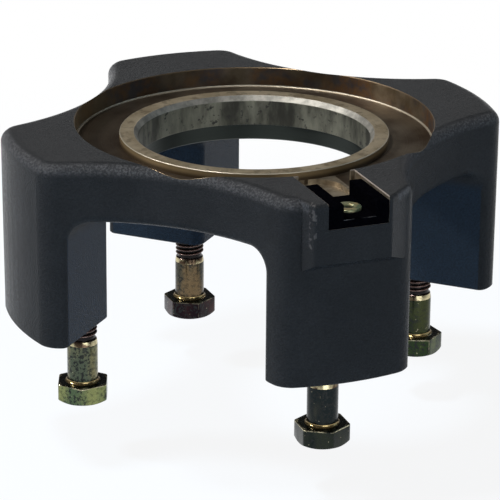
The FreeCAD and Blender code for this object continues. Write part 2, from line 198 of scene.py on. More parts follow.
# Key block screw. The break is that of its sharper edges
SCREW_HEAD_RADIUS = 5.0 * MM
SCREW_HEAD_HEIGHT = 3.4 * MM
SCREW_SHANK = 2.94 * MM
SCREW_EDGE = 0.45 * MM
SCREW_BREAK = 0.1 * MM
SOCKET_FLATS = 4.0 * MM
SOCKET_DEPTH = 2.1 * MM
SOCKET_RIM = SOCKET_FLATS / 2 * 1.19
SOCKET_LEAD = (0.03 * MM, 0.3 * MM, 0.5 * MM)
SOCKET_FLOOR_SHARE = 0.9
SOCKET_SHARPNESS = 90.0
SCREW_COLUMNS = 96

# A noise with its scale a metre and, where it turns one tone into another, the values between
# which it does. The two spans are those that most finishes share
Pattern = namedtuple("Pattern", "scale detail roughness low high", defaults=(0.0, 1.0))
WIDE = (0.2, 0.8)
EVEN = (0.3, 0.7)

# Casting paint: clouded, pebbled, grained, painted shade in the channels, painted highlight on the edges,
# chipped
PAINT_CLOUDS = Pattern(45.0, 3.0, 0.5, *EVEN)
PAINT_PEBBLES = Pattern(1400.0, 2.0, 0.6, 0.35, 0.65)
PAINT_GRAIN = Pattern(2600.0, 1.0, 0.5)
EDGE_HIGHLIGHT_SPECKS = Pattern(1150.0, 3.0, 0.6, 0.43, 0.63)
PAINT_CHIPS = Pattern(330.0, 3.0, 0.6)
PAINT_DARK = (0.0212, 0.0217, 0.0225)
PAINT_LIGHT = (0.0256, 0.0261, 0.0270)
# Painted shade: a bluer tone for the shaded channel walls under the plate
PAINTED_SHADE_BLUE = (0.0200, 0.0300, 0.0430)
PAINT_PITS = (0.0120, 0.0124, 0.0132)
# Painted highlight: light grey specks on the rounded top edges
PAINTED_EDGE_HIGHLIGHT = (0.074, 0.073, 0.075)
PAINT_CHIPPED = (0.06, 0.056, 0.054)
PIT_SHARE = 0.45
EDGE_HIGHLIGHT_SHARES = (0.18, 0.8)
CHIP_LEVEL = 0.54
PEBBLE_BUMP = (1.0, 0.45 * MM)
GRAIN_BUMP = (0.8, 0.14 * MM)
PAINT_ROUGHNESS = (0.15, 0.22)
PAINT_SPECULAR = 0.025

# Cut metal of the casting: turned lines under a stained film, with painted shade and painted highlight
# lines
CUT_LINES = Pattern(2200.0, 2.0, 0.6)
CUT_STAINS = Pattern(55.0, 5.0, 0.6, *EVEN)
CUT_BLOTCHES = Pattern(170.0, 4.0, 0.6, 0.35, 0.65)
CUT_RAINBOW = Pattern(38.0, 2.0, 0.5, 0.42, 0.58)
CUT_BUMP = (0.3, 0.02 * MM)
CUT_ROUGHNESS = (0.3, 0.5)
CUT_METALLIC = 0.86
RAINBOW_SHARE = 0.65
DRIFT_SHARE = 0.6
FLOOR_FILM_DARK = (0.065, 0.044, 0.028)
FLOOR_FILM_LIGHT = (0.17, 0.138, 0.10)
# Painted shade: the recess floor darker towards the left
FLOOR_LEFT_PAINTED_SHADE = (0.045, 0.030, 0.020)
FLOOR_SHADE_SPAN = (-0.9 * RECESS_RADIUS, 0.4 * RECESS_RADIUS)
# Painted highlight: a lighter line at the foot of the recess wall
FOOT_PAINTED_HIGHLIGHT = (0.40, 0.35, 0.27)
WALL_FILM_DARK = (0.095, 0.066, 0.036)
WALL_FILM_LIGHT = (0.32, 0.26, 0.18)
WALL_FILM_BLUE = (0.05, 0.070, 0.115)
WALL_FILM_ORANGE = (0.26, 0.12, 0.04)
# The recess wall is darker towards the back and lighter, more golden towards the left
WALL_BACK_DARKER = (0.035, 0.028, 0.022)
WALL_BACK_SPAN = (0.2 * RECESS_RADIUS, 0.8 * RECESS_RADIUS)
WALL_LEFT_LIGHTER = (0.34, 0.24, 0.12)
WALL_LEFT_SPAN = (-0.95 * RECESS_RADIUS, -0.4 * RECESS_RADIUS)
# Painted highlight: a lighter rim chamfer on the recess wall
WALL_RIM_PAINTED_HIGHLIGHT = (0.20, 0.145, 0.09)
SLOT_FILM_DARK = (0.22, 0.175, 0.12)
SLOT_FILM_LIGHT = (0.42, 0.36, 0.27)
# Painted highlight: a lighter rim chamfer on the slot
SLOT_RIM_PAINTED_HIGHLIGHT = (0.42, 0.36, 0.31)
# Painted shade: the lower bore, in shade under the ring, painted dark
LOWER_BORE_PAINTED_SHADE = (0.035, 0.040, 0.036)

# Seat ring steel: khaki on top, browner outside with painted shade low down and a painted highlight on the
# crest, grey in the mouth, blotched in the bore
RING_LINES = Pattern(2600.0, 2.0, 0.6)
RING_STAINS = Pattern(70.0, 5.0, 0.6, *EVEN)
RING_SPECKS = Pattern(230.0, 4.0, 0.65, 0.36, 0.5)
MOUTH_WEAR = Pattern(160.0, 4.0, 0.65, 0.35, 0.65)
BORE_BANDS = Pattern(85.0, 5.0, 0.62, 0.35, 0.68)
BORE_SPOTS = Pattern(520.0, 3.0, 0.6, 0.3, 0.42)
BORE_STRETCH = 0.3
RING_SPECK_SHARE = 0.5
RING_BUMP = (0.22, 0.02 * MM)
RING_ROUGHNESS = (0.3, 0.44)
MOUTH_ROUGHNESS = 0.56
RING_METALLIC = (0.8, 0.45)
RING_DARK = (0.37, 0.285, 0.17)
RING_LIGHT = (0.62, 0.515, 0.355)
RING_SPECK = (0.11, 0.075, 0.04)
# Painted shade: the outside of the ring darker towards its foot
RING_SIDE_PAINTED_SHADE = (0.055, 0.036, 0.018)
RING_SIDE_HIGH = (0.23, 0.165, 0.085)
# Painted highlight: the outer top edge of the ring painted lighter
RING_CREST_PAINTED_HIGHLIGHT = (0.48, 0.43, 0.33)
MOUTH_DARK = (0.18, 0.172, 0.150)
MOUTH_LIGHT = (0.33, 0.312, 0.272)
BORE_DARK = (0.036, 0.035, 0.028)
BORE_LIGHT = (0.20, 0.195, 0.15)
BORE_SPOT = (0.035, 0.034, 0.03)

# Zinc plate of the bolts: a bloom of its own on each, speckled, with painted glints, lighter for wear and
# painted highlights
ZINC_DRIFT = Pattern(125.0, 3.0, 0.55, 0.4, 0.6)
ZINC_SPECKLE = Pattern(800.0, 3.0, 0.6, 0.44, 0.5)
ZINC_GLINT_SPECKS = Pattern(820.0, 2.0, 0.5, 0.70, 0.74)
ZINC_WEAR_AND_HIGHLIGHT = Pattern(300.0, 3.0, 0.6, 0.42, 0.58)
BEVEL_BAND = Pattern(210.0, 2.0, 0.5, 0.4, 0.54)
ZINC_STRETCH = 0.35
DULL_DRIFT = (0.42, 0.58)
DULL_SHARES = (0.95, 0.35)
PAINTED_GLINT_SHARE = 0.5
ZINC_BUMP = (0.12, 0.05 * MM)
ZINC_ROUGHNESS = (0.32, 0.14)
ZINC_METALLIC = 0.9
SHANK_TONES = {
    "front": (0.022, 0.027, 0.029),
    "left": (0.138, 0.148, 0.100),
    "back": (0.100, 0.082, 0.058),
    "right": (0.026, 0.036, 0.020),
}
HEAD_TONES = {
    "front": (0.014, 0.020, 0.019),
    "left": (0.145, 0.185, 0.098),
    "back": (0.021, 0.009, 0.013),
    "right": (0.045, 0.068, 0.028),
}
BLOOM_WARM = (1.6, 1.35, 1.0)
BLOOM_COOL = (0.52, 0.60, 0.60)
ZINC_DULL = (0.020, 0.022, 0.022)
# Painted highlight: bright specks painted as glints
ZINC_PAINTED_GLINT = (0.42, 0.38, 0.26)
# Painted shade: the face of the head under the shank, which lies under the leg
HEAD_FACE_PAINTED_SHADE = (0.018, 0.022, 0.014)
# Wear and painted highlight: the lighter brim and corners of a head
ZINC_WORN_AND_HIGHLIGHT = (0.55, 0.49, 0.32)
# Painted highlight: a bright ring on the fillet under the head
FILLET_PAINTED_HIGHLIGHT = (0.34, 0.25, 0.11)
BEVEL_DARK = (0.10, 0.065, 0.04)
BEVEL_LIGHT = (0.60, 0.52, 0.31)
# Painted shade in the thread's grooves and a painted highlight on its crests
THREAD_GROOVE_PAINTED_SHADE = (0.014, 0.012, 0.012)
THREAD_CREST_PAINTED_HIGHLIGHT = (0.24, 0.165, 0.145)

# Zinc plate of the key block's screw
SCREW_DRIFT = Pattern(260.0, 3.0, 0.55, 0.35, 0.65)
SCREW_ROUGHNESS = (0.25, 0.4)
SCREW_METALLIC = 0.6
SCREW_GREEN = (0.16, 0.20, 0.12)
SCREW_GOLD = (0.42, 0.34, 0.17)
# Painted shade: the inside of the socket painted dark
SOCKET_PAINTED_SHADE = (0.03, 0.03, 0.025)

# Black oxide of the key block
KEY_RUB = Pattern(900.0, 3.0, 0.6, 0.4, 0.8)
KEY_WEAR_AND_HIGHLIGHT = Pattern(140.0, 3.0, 0.6, 0.42, 0.6)
KEY_BUMP = (0.1, 0.03 * MM)
KEY_ROUGHNESS = (0.5, 0.62)
KEY_DARK = (0.0008, 0.0008, 0.0013)
KEY_LIGHT = (0.0020, 0.0020, 0.0030)
# Wear and painted highlight: the lighter edges of the key block
KEY_WORN_AND_HIGHLIGHT = (0.10, 0.095, 0.09)

# Drawn wire of the inserts
WIRE_DRAWN = Pattern(1400.0, 2.0, 0.5)
WIRE_ROUGHNESS = (0.25, 0.4)
WIRE_DARK = (0.42, 0.42, 0.40)
WIRE_LIGHT = (0.58, 0.58, 0.56)


class Nodes:
    """A node tree being made: adds nodes and wires them."""

    def __init__(self, tree):
        self.tree = tree

    def feed(self, socket, value):
        if isinstance(value, bpy.types.NodeSocket):
            self.tree.links.new(value, socket)
        else:
            socket.default_value = value

    def node(self, kind, inputs=None, **settings):
        made = self.tree.nodes.new(kind)
        for name, value in settings.items():
            setattr(made, name, value)
        for socket, value in (inputs or {}).items():
            self.feed(made.inputs[socket], value)
        return made

    def sum(self, operation, *values):
        """One step of arithmetic, on sockets and numbers."""
        made = self.node("ShaderNodeMath", dict(enumerate(values)), operation=operation)
        return made.outputs[0]

    def below(self, value, limit):
        return self.sum("LESS_THAN", value, limit)

    def above(self, value, limit):
        return self.sum("GREATER_THAN", value, limit)

    def both(self, *masks):
        """Where all the masks hold."""
        joined = masks[0]
        for mask in masks[1:]:
            joined = self.sum("MULTIPLY", joined, mask)
        return joined

    def either(self, *masks):
        """Where any of the masks holds."""
        joined = masks[0]
        for mask in masks[1:]:
            joined = self.sum("MAXIMUM", joined, mask)
        return joined

    def ease(self, value, low, high, start=0.0, end=1.0):
        """value mapped smoothly from low..high to start..end."""
        sockets = {"Value": value, "From Min": low, "From Max": high, "To Min": start, "To Max": end}
        return self.node("ShaderNodeMapRange", sockets, interpolation_type="SMOOTHSTEP").outputs[0]

    def mix(self, share, a, b):
        """One colour turning into another."""
        made = self.node("ShaderNodeMix", {0: share, 6: colour(a), 7: colour(b)}, data_type="RGBA")
        return made.outputs[2]

    def blend(self, share, a, b):
        """One number turning into another."""
        return self.node("ShaderNodeMix", {0: share, 2: a, 3: b}).outputs[0]

    def seen(self):
        """One for the rays that show the background: the camera's, and those in metal and glass."""
        path = self.node("ShaderNodeLightPath").outputs
        through = self.sum("MAXIMUM", path["Is Transmission Ray"], path["Is Glossy Ray"])
        return self.sum("MAXIMUM", path["Is Camera Ray"], through)


class Finish(Nodes):
    """A material being made, with patterns in the part's own coordinates."""

    def __init__(self, name):
        self.material = bpy.data.materials.new(name)
        self.material.use_nodes = True
        super().__init__(self.material.node_tree)
        self.surface = self.tree.nodes["Principled BSDF"]
        self.place = self.node("ShaderNodeTexCoord").outputs["Object"]

    def noise(self, pattern, vector=None):
        sockets = {
            "Vector": vector or self.place,
            "Scale": pattern.scale,
            "Detail": pattern.detail,
            "Roughness": pattern.roughness,
        }
        return self.node("ShaderNodeTexNoise", sockets).outputs[0]

    def turn(self, pattern, start=0.0, end=1.0, vector=None):
        """A pattern's noise, turned from start to end between its own two values."""
        return self.ease(self.noise(pattern, vector), pattern.low, pattern.high, start, end)

    def upright(self, stretch):
        """The place scaled along Z, for patterns drawn out up and down."""
        scaled = self.node("ShaderNodeMapping", {"Vector": self.place, "Scale": (1.0, 1.0, stretch)})
        return scaled.outputs[0]

    def bump(self, height, strength, distance, normal=None):
        sockets = {"Height": height, "Strength": strength, "Distance": distance}
        if normal:
            sockets["Normal"] = normal
        return self.node("ShaderNodeBump", sockets).outputs[0]

    def point(self):
        """x, y and z of the shaded point."""
        split = self.node("ShaderNodeSeparateXYZ", {0: self.place}).outputs
        return split[0], split[1], split[2]

    def distance(self, x, y):
        """How far the place (x, y) is from the axis that it is measured from."""
        flat = self.node("ShaderNodeCombineXYZ", {0: x, 1: y}).outputs[0]
        return self.node("ShaderNodeVectorMath", {0: flat}, operation="LENGTH").outputs["Value"]

    def spun(self, pattern, radius, z):
        """A pattern's noise carried round the axis, for the lines that a lathe leaves."""
        return self.noise(pattern, self.node("ShaderNodeCombineXYZ", {0: radius, 1: z}).outputs[0])

    def done(self, **sockets):
        for name, value in sockets.items():
            self.feed(self.surface.inputs[name.replace("_", " ")], value)
        return self.material


def colour(value):
    """A colour socket as it is, or three numbers with full opacity."""
    return value if isinstance(value, bpy.types.NodeSocket) else (*value, 1.0)


def channel_painted_shade(finish, x, y, z, radius):
    """One on the walls of the channels between the legs, which run at 45 degrees to the legs, for painted
    shade.
    """
    half = math.sqrt(0.5)
    sideways = finish.sum("MULTIPLY", finish.sum("SUBTRACT", x, y), half)
    lengthways = finish.sum("MULTIPLY", finish.sum("ADD", x, y), half)
    front_wall = finish.blend(finish.above(lengthways, 0.0), CHANNEL_FRONT_LEFT, CHANNEL_HALF)
    from_left = finish.both(finish.above(sideways, -CHANNEL_HALF), finish.below(sideways, front_wall))
    from_right = finish.both(
        finish.above(lengthways, -CHANNEL_FRONT_RIGHT), finish.below(lengthways, CHANNEL_HALF)
    )
    leg_corners = finish.below(radius, CHANNEL_CORNERS)
    under = finish.ease(z, *CHANNEL_FADE, 1.0, 0.0)
    return finish.both(finish.either(from_left, from_right, leg_corners), under)


def casting_paint(finish, x, y, z, radius, pebbles):
    """Charcoal paint: clouded and pitted, painted shade in the channels, painted highlight on the edges,
    chipped on the pad.
    """
    paint = finish.mix(finish.turn(PAINT_CLOUDS), PAINT_DARK, PAINT_LIGHT)
    # Painted shade: the channel walls, which lie in shade, are painted bluer
    paint = finish.mix(channel_painted_shade(finish, x, y, z, radius), paint, PAINTED_SHADE_BLUE)
    pits = finish.ease(pebbles, PAINT_PEBBLES.low, PAINT_PEBBLES.high, 0.0, PIT_SHARE)
    paint = finish.mix(pits, paint, PAINT_PITS)
    highlight_band = finish.both(
        finish.ease(z, *HIGHLIGHT_BAND_RISE),
        finish.ease(z, *HIGHLIGHT_BAND_FALL, 1.0, 0.0),
        finish.above(y, -PAD_CHIPS_FRONT - PAD_CHIP_WIDTH),
    )
    # Painted highlight: light grey specks on the rounded top edges
    paint = finish.mix(finish.both(highlight_band, finish.turn(EDGE_HIGHLIGHT_SPECKS, *EDGE_HIGHLIGHT_SHARES)), paint, PAINTED_EDGE_HIGHLIGHT)
    from_edge = finish.sum("ABSOLUTE", finish.sum("ADD", x, PAD_LEFT_EDGE))
    chipped = finish.both(
        finish.below(y, -PAD_CHIPS_FRONT),
        finish.below(from_edge, PAD_CHIP_WIDTH),
        finish.above(z, -PAD_CHIPS_LOW),
        finish.above(finish.noise(PAINT_CHIPS), CHIP_LEVEL),
    )
    return finish.mix(chipped, paint, PAINT_CHIPPED)


def casting_film(finish, x, y, z, radius, in_recess, in_bore, in_slot):
    """The film on cut metal: stained, with a rainbow on the recess wall, painted shade and painted
    highlight lines.
    """
    stains = finish.turn(CUT_STAINS)
    blotches = finish.turn(CUT_BLOTCHES)
    on_wall = finish.above(z, RECESS_FOOT_HEIGHT)
    on_rim = finish.above(z, RIM_CHAMFER_LOW)

    floor_film = finish.mix(stains, FLOOR_FILM_DARK, FLOOR_FILM_LIGHT)
    # Painted shade: the recess floor darker towards the left
    floor_film = finish.mix(finish.ease(x, *FLOOR_SHADE_SPAN, DRIFT_SHARE, 0.0), floor_film, FLOOR_LEFT_PAINTED_SHADE)

    wall_film = finish.mix(stains, WALL_FILM_DARK, WALL_FILM_LIGHT)
    rainbow = finish.mix(blotches, WALL_FILM_BLUE, WALL_FILM_ORANGE)
    wall_film = finish.mix(finish.turn(CUT_RAINBOW, 0.0, RAINBOW_SHARE), wall_film, rainbow)
    # Darker towards the back of the recess wall, lighter and more golden towards its left
    wall_film = finish.mix(finish.ease(y, *WALL_BACK_SPAN, 0.0, DRIFT_SHARE), wall_film, WALL_BACK_DARKER)
    wall_film = finish.mix(finish.ease(x, *WALL_LEFT_SPAN, DRIFT_SHARE, 0.0), wall_film, WALL_LEFT_LIGHTER)

    slot_film = finish.mix(blotches, SLOT_FILM_DARK, SLOT_FILM_LIGHT)
    # Painted highlight: the slot's rim chamfer painted lighter
    slot_film = finish.mix(on_rim, slot_film, SLOT_RIM_PAINTED_HIGHLIGHT)

    film = finish.mix(on_wall, floor_film, wall_film)
    film = finish.mix(in_slot, film, slot_film)
    # Painted shade: the lower bore, in shade under the ring, painted dark
    film = finish.mix(in_bore, film, LOWER_BORE_PAINTED_SHADE)
    wall_foot = finish.both(
        finish.above(radius, RECESS_RADIUS - RECESS_FOOT_WIDTH), finish.below(z, RECESS_FOOT_HEIGHT)
    )
    # Painted highlight: lighter lines at the foot of the recess wall and on its rim chamfer
    painted_highlight_lines = finish.both(in_recess, finish.either(wall_foot, on_rim))
    return finish.mix(painted_highlight_lines, film, finish.mix(on_wall, FOOT_PAINTED_HIGHLIGHT, WALL_RIM_PAINTED_HIGHLIGHT))


def casting_finish():
    """Orange-peel paint, bare and passivated where the seat, slot and feet are cut."""
    finish = Finish("casting_paint_and_cuts")
    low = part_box("body_casting")[0]
    x, y, z = finish.point()
    radius = finish.distance(x, y)

    # Where the cutters went: recess and slot widen at their chamfered rims
    chamfer = (RIM_CHAMFER_LOW - ZONE_STEP, RIM_CHAMFER_LOW)
    rim = finish.ease(z, *chamfer, RECESS_RADIUS + ZONE_STEP, RECESS_RADIUS + RIM_CHAMFER)
    in_recess = finish.both(finish.below(radius, rim), finish.above(z, -ZONE_STEP))
    in_bore = finish.both(
        finish.below(radius, LOWER_BORE_RADIUS + LOWER_BORE_CHAMFER + 2 * ZONE_STEP),
        finish.above(z, PLATE_BOTTOM - ZONE_STEP),
    )
    slot_edge = KEY_SLOT_HALF + ZONE_STEP
    slot_half = finish.ease(z, *chamfer, slot_edge, slot_edge + RIM_CHAMFER)
    in_slot = finish.both(
        finish.below(finish.sum("ABSOLUTE", x), slot_half),
        finish.below(y, -KEY_SLOT_BACK),
        finish.above(y, low.y + ZONE_STEP),
        finish.above(z, KEY_FLOOR - ZONE_STEP),
    )
    on_foot = finish.below(z, low.z + ZONE_STEP)
    bare = finish.either(in_recess, in_bore, in_slot, on_foot)

    pebbles = finish.noise(PAINT_PEBBLES)
    lines = finish.spun(CUT_LINES, radius, z)
    peel = finish.bump(pebbles, *PEBBLE_BUMP)
    peel = finish.bump(finish.noise(PAINT_GRAIN), *GRAIN_BUMP, peel)
    turned = finish.bump(lines, *CUT_BUMP)
    paint = casting_paint(finish, x, y, z, radius, pebbles)
    film = casting_film(finish, x, y, z, radius, in_recess, in_bore, in_slot)
    return finish.done(
        Base_Color=finish.mix(bare, paint, film),
        Metallic=finish.sum("MULTIPLY", bare, CUT_METALLIC),
        Roughness=finish.blend(
            bare, finish.ease(pebbles, *WIDE, *PAINT_ROUGHNESS), finish.ease(lines, *WIDE, *CUT_ROUGHNESS)
        ),
        Specular_IOR_Level=PAINT_SPECULAR,
        Normal=finish.node("ShaderNodeMix", {0: bare, 4: peel, 5: turned}, data_type="VECTOR").outputs[1],
    )


def ring_finish():
    """Turned steel under a khaki film: fine rings, a browner outside with painted shade low, a painted
    crest highlight, a grey mouth, a blotched bore.
    """
    finish = Finish("ring_khaki_steel")
    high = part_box("seat_ring")[1]
    x, y, z = finish.point()
    radius = finish.distance(x, y)
    outside = finish.above(radius, high.x - RING_OUTSIDE)
    crest = finish.both(finish.above(radius, high.x - RING_EDGE), finish.above(z, high.z - RING_EDGE))
    mouth = finish.below(radius, high.x - RING_WALL + RING_BEVEL_WIDTH)
    in_bore = finish.below(radius, high.x - RING_WALL + RING_BORE_STEP)

    khaki = finish.mix(finish.turn(RING_STAINS), RING_DARK, RING_LIGHT)
    khaki = finish.mix(finish.turn(RING_SPECKS, RING_SPECK_SHARE, 0.0), khaki, RING_SPECK)
    # Painted shade: the outside of the ring darker towards its foot
    side = finish.mix(finish.ease(z, *RING_SIDE_SHADE_SPAN), RING_SIDE_PAINTED_SHADE, RING_SIDE_HIGH)
    bore = finish.mix(
        finish.turn(BORE_BANDS, vector=finish.upright(BORE_STRETCH)), BORE_DARK, BORE_LIGHT
    )
    bore = finish.mix(finish.turn(BORE_SPOTS), BORE_SPOT, bore)

    film = finish.mix(outside, khaki, side)
    # Painted highlight: the outer top edge of the ring painted lighter
    film = finish.mix(crest, film, RING_CREST_PAINTED_HIGHLIGHT)
    film = finish.mix(mouth, film, finish.mix(finish.turn(MOUTH_WEAR), MOUTH_DARK, MOUTH_LIGHT))
    film = finish.mix(in_bore, film, bore)
    lines = finish.spun(RING_LINES, radius, z)
    return finish.done(
        Base_Color=film,
        Metallic=finish.blend(outside, *RING_METALLIC),
        Roughness=finish.blend(mouth, finish.ease(lines, *WIDE, *RING_ROUGHNESS), MOUTH_ROUGHNESS),
        Normal=finish.bump(lines, *RING_BUMP),
    )


def tinted(tone, share):
    """A colour with each part scaled by its own share."""
    return tuple(part * factor for part, factor in zip(tone, share))


def plated_finish(side):
    """Yellow zinc plate on one bolt: its own bloom, dark speckles, painted glints, painted highlights and
    shade, edge wear.
    """
    finish = Finish("iridescent_zinc_" + side)
    low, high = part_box("foot_bolt_" + side)
    x, y, z = finish.point()
    seat = low.z + HEAD_HEIGHT
    neck = seat + BOLT_PLAIN
    radius = finish.distance(
        finish.sum("SUBTRACT", x, (low.x + high.x) / 2), finish.sum("SUBTRACT", y, (low.y + high.y) / 2)
    )

    # Bloom: the bolt's own tone, drifting to warm and cool in bands along the bolt
    in_shank = finish.above(z, seat - HEAD_EDGE)
    warm, cool = (
        finish.mix(in_shank, tinted(HEAD_TONES[side], share), tinted(SHANK_TONES[side], share))
        for share in (BLOOM_WARM, BLOOM_COOL)
    )
    drift = finish.noise(ZINC_DRIFT, finish.upright(ZINC_STRETCH))
    tone = finish.mix(finish.ease(drift, ZINC_DRIFT.low, ZINC_DRIFT.high), cool, warm)
    speckle = finish.noise(ZINC_SPECKLE)
    dull = finish.both(
        finish.ease(speckle, ZINC_SPECKLE.low, ZINC_SPECKLE.high, 1.0, 0.0),
        finish.ease(drift, *DULL_DRIFT, *DULL_SHARES),
    )
    tone = finish.mix(dull, tone, ZINC_DULL)
    # Painted highlight: bright specks painted as glints
    tone = finish.mix(finish.turn(ZINC_GLINT_SPECKS, 0.0, PAINTED_GLINT_SHARE), tone, ZINC_PAINTED_GLINT)

    # Zones: painted shade on the face under the shank, wear and painted highlight on the head's edges, a
    # painted highlight on the fillet, the bright bevel, and the thread with painted shade and painted
    # highlight
    in_head = finish.below(z, seat + ZONE_STEP)
    face = finish.both(
        in_head, finish.above(z, seat - ZONE_STEP), finish.above(radius, BOLT_RADIUS + HEAD_FILLET)
    )
    brim = finish.both(
        in_head, finish.above(z, seat - BRIM_DEPTH), finish.above(radius, HEAD_FLATS / 2 - HEAD_EDGE)
    )
    corner = finish.both(in_head, finish.above(radius, CORNER_RADIUS))
    # Wear and painted highlight: the head's brim and corners lighter
    worn_and_highlight = finish.both(finish.either(brim, corner), finish.turn(ZINC_WEAR_AND_HIGHLIGHT, 0.0, HEAD_WEAR_AND_HIGHLIGHT[side]))
    fillet_highlight = finish.both(finish.above(z, seat + ZONE_STEP), finish.below(z, seat + HEAD_FILLET))
    bevel = finish.both(finish.above(z, neck - BOLT_BEVEL), finish.below(z, neck))
    crest = finish.above(radius, THREAD_RADIUS - CREST_DEPTH)
    # Painted shade: the head's face under the shank painted dark
    tone = finish.mix(face, tone, HEAD_FACE_PAINTED_SHADE)
    tone = finish.mix(worn_and_highlight, tone, ZINC_WORN_AND_HIGHLIGHT)
    # Painted highlight: the fillet under the head painted bright
    tone = finish.mix(fillet_highlight, tone, FILLET_PAINTED_HIGHLIGHT)
    tone = finish.mix(bevel, tone, finish.mix(finish.turn(BEVEL_BAND), BEVEL_DARK, BEVEL_LIGHT))
    # Painted shade in the thread's grooves and a painted highlight on its crests
    tone = finish.mix(finish.above(z, neck), tone, finish.mix(crest, THREAD_GROOVE_PAINTED_SHADE, THREAD_CREST_PAINTED_HIGHLIGHT))
    return finish.done(
        Base_Color=tone,
        Metallic=ZINC_METALLIC,
        Roughness=finish.ease(speckle, *EVEN, *ZINC_ROUGHNESS),
        Normal=finish.bump(speckle, *ZINC_BUMP),
    )


def screw_finish():
    """Yellow zinc plate on the key block's screw, green and gold round a socket painted dark as shade."""
    finish = Finish("screw_iridescent_zinc")
    drift = finish.noise(SCREW_DRIFT)
    tone = finish.mix(finish.ease(drift, SCREW_DRIFT.low, SCREW_DRIFT.high), SCREW_GREEN, SCREW_GOLD)
    z = finish.point()[2]
    shaded_socket = finish.below(z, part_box("key_block_screw")[1].z - 2 * SCREW_EDGE)
    return finish.done(
        # Painted shade: the inside of the socket painted dark
        Base_Color=finish.mix(shaded_socket, tone, SOCKET_PAINTED_SHADE),
        Metallic=SCREW_METALLIC,
        Roughness=finish.ease(drift, *EVEN, *SCREW_ROUGHNESS),
    )


def key_finish():
    """Black oxide, matt, lighter in places along its edges for wear and a painted highlight."""
    finish = Finish("key_black_oxide")
    x, y, z = finish.point()
    low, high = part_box("key_block")
    rub = finish.noise(KEY_RUB)
    from_web = finish.sum("ABSOLUTE", finish.sum("SUBTRACT", z, low.z + KEY_WEB))
    from_middle = finish.sum("ABSOLUTE", finish.sum("SUBTRACT", x, KEY_CHANNEL_X))
    on_front = finish.below(y, low.y + KEY_LIGHT_EDGE_WIDTH)
    on_top = finish.above(z, high.z - KEY_LIGHT_EDGE_WIDTH)
    on_web = finish.both(finish.below(from_web, KEY_LIGHT_EDGE_WIDTH), finish.below(from_middle, KEY_CHANNEL_HALF))
    # Wear and painted highlight: lighter places along the block's front edges
    worn_and_highlight = finish.both(on_front, finish.either(on_top, on_web), finish.turn(KEY_WEAR_AND_HIGHLIGHT))
    black = finish.mix(finish.ease(rub, KEY_RUB.low, KEY_RUB.high), KEY_DARK, KEY_LIGHT)
    return finish.done(
        Base_Color=finish.mix(worn_and_highlight, black, KEY_WORN_AND_HIGHLIGHT),
        Metallic=0.0,
        Roughness=finish.ease(rub, *WIDE, *KEY_ROUGHNESS),
        Specular_IOR_Level=0.0,
        Normal=finish.bump(rub, *KEY_BUMP),
    )


def wire_finish():
    """Bright drawn wire."""
    finish = Finish("insert_bright_wire")
    drawn = finish.noise(WIRE_DRAWN)
    return finish.done(
        Base_Color=finish.mix(drawn, WIRE_DARK, WIRE_LIGHT),
        Metallic=1.0,
        Roughness=finish.ease(drawn, *WIDE, *WIRE_ROUGHNESS),
    )


def piece(name, points, faces, body, finish):
    """A mesh object from a (count, 3) array of points and lists of faces, riding on a body."""
    mesh = bpy.data.meshes.new(name)
    mesh.from_pydata(points, [], faces)
    mesh.polygons.foreach_set("use_smooth", np.ones(len(mesh.polygons), bool))
    mesh.materials.append(finish)
    made = bpy.data.objects.new(name, mesh)
    bpy.context.scene.collection.objects.link(made)
    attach(made, body)
    return made


def round_axis(node, columns):
    """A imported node's box, the middle of it in plan, and even directions round that middle."""
    low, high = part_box(node)
    centre = ((low.x + high.x) / 2, (low.y + high.y) / 2)
    return low, high, centre, np.arange(columns) * FULL_TURN / columns


def lattice(rows, columns, closed_rows=False):
    """Quads between neighbours of a grid whose columns join up again, and whose rows may."""
    index = np.arange(rows * columns).reshape(rows, columns)
    if closed_rows:
        index = np.vstack([index, index[:1]])
    across = np.roll(index, -1, axis=1)
    quads = np.stack([index[:-1], across[:-1], across[1:], index[1:]], axis=-1)
    return quads.reshape(-1, 4)


def with_poles(radius, height, angle, centre):
    """Points and faces of a closed surface from rows of (radius, height) round an axis.

    x = radius cos(angle), y = radius sin(angle), z = height; the first and last rows meet
    in one point each.
    """
    rows, columns = radius.shape
    x = radius * np.cos(angle) + centre[0]
    y = radius * np.sin(angle) + centre[1]
    points = np.stack([x, y, height], axis=-1).reshape(-1, 3)
    first = (centre[0], centre[1], height[0].mean())
    last = (centre[0], centre[1], height[-1].mean())
    around = np.arange(columns)
    ahead = np.roll(around, -1)
    top = (rows - 1) * columns
    low_fan = np.stack([ahead, around, np.full(columns, len(points))], axis=-1)
    high_fan = np.stack([top + around, top + ahead, np.full(columns, len(points) + 1)], axis=-1)
    faces = lattice(rows, columns).tolist() + low_fan.tolist() + high_fan.tolist()
    return np.vstack([points, first, last]), faces


def hexagon_radius(angle, flats, sharpness):
    """Distance from the axis to a hexagon with softened corners.

    Half the flats over the p-norm of the positive cosines to the six flats, p being the sharpness.
    """
    to_flats = np.cos(angle - np.arange(6)[:, None] * FULL_TURN / 6 - FULL_TURN / 12)
    norm = (np.clip(to_flats, 0, None) ** sharpness).sum(axis=0) ** (1 / sharpness)
    return flats / 2 / norm


def quarter_turn():
    """(sine, cosine) pairs at even steps of a quarter turn."""
    turn = np.linspace(0, math.pi / 2, ROUND_STEPS)
    return list(zip(np.sin(turn), np.cos(turn)))


def stack_rows(parts, columns):
    """(radius, height) pairs, each a number or an array over the columns, as two grids."""
    radius = np.stack([np.broadcast_to(r, columns) for r, _ in parts])
    height = np.stack([np.broadcast_to(h, columns) for _, h in parts])
    return radius, height


